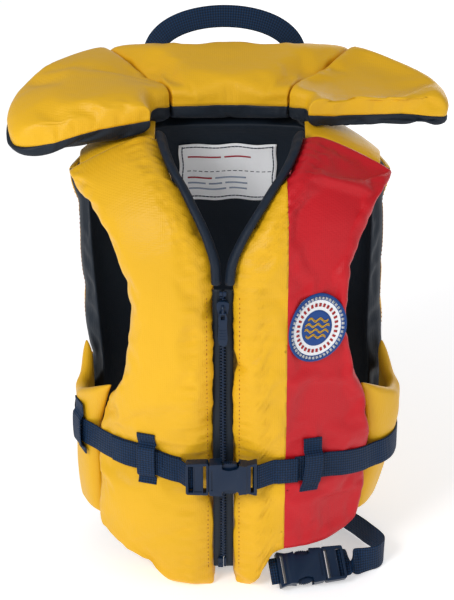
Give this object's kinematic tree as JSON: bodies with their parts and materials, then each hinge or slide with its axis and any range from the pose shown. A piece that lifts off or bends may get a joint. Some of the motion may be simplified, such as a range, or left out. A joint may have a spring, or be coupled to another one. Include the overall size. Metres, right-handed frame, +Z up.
{
  "type": "life jacket",
  "caption": "Child's foam life jacket with a zipped front, webbing waist belt and crotch strap with side-release buckles, a three-pillow collar and a grab handle.",
  "frame": {"origin": "on the surface the hem stands on, under the middle of the jacket's bounding box", "axes": "+Z up the wearer's spine, the zipped front faces -Y, the wearer's left is +X"},
  "size_m": [0.3885, 0.2822, 0.4754],
  "materials": {
    "yellow_nylon": "satin",
    "red_nylon": "satin",
    "navy_lining": "matte",
    "navy_webbing": "matte",
    "navy_plastic": "satin",
    "foam": "matte",
    "label_cloth": "matte",
    "badge": "matte"
  },
  "bodies": {
    "vest": {"front_left_red_cover": "red_nylon", "front_left_strip_cover": "yellow_nylon", "front_left_foam": "foam", "front_left_lining": "navy_lining", "front_right_cover": "yellow_nylon", "front_right_foam": "foam", "front_right_lining": "navy_lining", "back_cover": "yellow_nylon", "back_foam": "foam", "back_lining": "navy_lining", "side_gusset_left": "yellow_nylon", "side_gusset_right": "yellow_nylon", "shoulder_left": "yellow_nylon", "shoulder_right": "yellow_nylon", "neck_binding_left": "navy_lining", "neck_binding_right": "navy_lining", "zipper_tape_left": "navy_lining", "zipper_teeth_left": "navy_plastic", "zipper_top_stop_left": "navy_plastic", "zipper_tape_right": "navy_lining", "zipper_teeth_right": "navy_plastic", "zipper_top_stop_right": "navy_plastic", "zipper_retainer_box": "navy_plastic", "zipper_insertion_pin": "navy_plastic", "waist_belt": "navy_webbing", "belt_tail": "navy_webbing", "waist_socket_strap": "navy_webbing", "belt_keeper_front_right": "navy_webbing", "belt_keeper_front_left": "navy_webbing", "belt_keeper_side_right": "navy_webbing", "belt_keeper_back": "navy_webbing", "waist_buckle_plug": "navy_plastic", "crotch_buckle_socket": "navy_plastic", "crotch_strap": "navy_webbing", "crotch_front_tab": "navy_webbing", "name_label": "label_cloth", "badge_patch": "badge"},
    "collar_back": {"collar_back_cover": "yellow_nylon", "collar_back_underside": "navy_lining", "collar_back_foam": "foam"},
    "collar_left": {"collar_left_cover": "yellow_nylon", "collar_left_underside": "navy_lining", "collar_left_foam": "foam"},
    "collar_right": {"collar_right_cover": "yellow_nylon", "collar_right_underside": "navy_lining", "collar_right_foam": "foam"},
    "handle": {"grab_handle": "navy_webbing"},
    "zip_slider": {"zipper_slider": "navy_plastic"},
    "zip_pull": {"zipper_pull": "navy_plastic"},
    "waist_socket": {"waist_buckle_socket": "navy_plastic"},
    "waist_prong_up": {"waist_prong_upper": "navy_plastic"},
    "waist_prong_low": {"waist_prong_lower": "navy_plastic"},
    "crotch_plug": {"crotch_buckle_plug": "navy_plastic"},
    "crotch_prong_up": {"crotch_prong_upper": "navy_plastic"},
    "crotch_prong_low": {"crotch_prong_lower": "navy_plastic"}
  },
  "joints": [
    {"name": "collar_back_fold", "type": "hinge", "parent": "vest", "child": "collar_back", "pos_m": [0.001, 0.0273, 0.413], "axis": [1, 0, 0], "range_deg": [0, 12]},
    {"name": "collar_left_fold", "type": "hinge", "parent": "vest", "child": "collar_left", "pos_m": [0.067, 0.0013, 0.411], "axis": [0, -1, 0], "range_deg": [0, 12]},
    {"name": "collar_right_fold", "type": "hinge", "parent": "vest", "child": "collar_right", "pos_m": [-0.065, 0.0013, 0.411], "axis": [0, 1, 0], "range_deg": [0, 12]},
    {"name": "handle_swing", "type": "hinge", "parent": "collar_back", "child": "handle", "pos_m": [-0.003, 0.1333, 0.424], "axis": [1, 0, 0], "range_deg": [-60, 30]},
    {"name": "zip_slide", "type": "slide", "parent": "vest", "child": "zip_slider", "axis": [0, 0, -1], "range_m": [0, 0.235]},
    {"name": "zip_pull_swing", "type": "hinge", "parent": "zip_slider", "child": "zip_pull", "pos_m": [-0.005, -0.1271, 0.277], "axis": [-1, 0, 0], "range_deg": [0, 150]},
    {"name": "waist_release", "type": "slide", "parent": "vest", "child": "waist_socket", "axis": [1, 0, 0], "range_m": [0, 0.03], "deforming": ["waist_socket_strap"]},
    {"name": "waist_prong_upper_squeeze", "type": "hinge", "parent": "vest", "child": "waist_prong_up", "pos_m": [-0.0148, -0.1351, 0.1337], "axis": [0, 1, 0], "range_deg": [0, 6], "stiffness_Nm_per_rad": 0.05},
    {"name": "waist_prong_lower_squeeze", "type": "hinge", "parent": "vest", "child": "waist_prong_low", "pos_m": [-0.0148, -0.1351, 0.1143], "axis": [0, 1, 0], "range_deg": [-6, 0], "stiffness_Nm_per_rad": 0.05},
    {"name": "crotch_release", "type": "slide", "parent": "vest", "child": "crotch_plug", "axis": [0.9744, 0.225, 0], "range_m": [0, 0.03], "deforming": ["crotch_strap"]},
    {"name": "crotch_prong_upper_squeeze", "type": "hinge", "parent": "crotch_plug", "child": "crotch_prong_up", "pos_m": [0.08083, -0.10335, 0.02324], "axis": [0.1563, -0.6769, 0.7193], "range_deg": [0, 6], "stiffness_Nm_per_rad": 0.05},
    {"name": "crotch_prong_lower_squeeze", "type": "hinge", "parent": "crotch_plug", "child": "crotch_prong_low", "pos_m": [0.08396, -0.11694, 0.00976], "axis": [0.1563, -0.6769, 0.7193], "range_deg": [-6, 0], "stiffness_Nm_per_rad": 0.05}
  ],
  "couplings": [
    {"joint": "collar_left_fold", "follows": "collar_back_fold", "ratio": 1},
    {"joint": "collar_right_fold", "follows": "collar_back_fold", "ratio": 1},
    {"joint": "waist_prong_lower_squeeze", "follows": "waist_prong_upper_squeeze", "ratio": -1},
    {"joint": "crotch_prong_lower_squeeze", "follows": "crotch_prong_upper_squeeze", "ratio": -1}
  ]
}
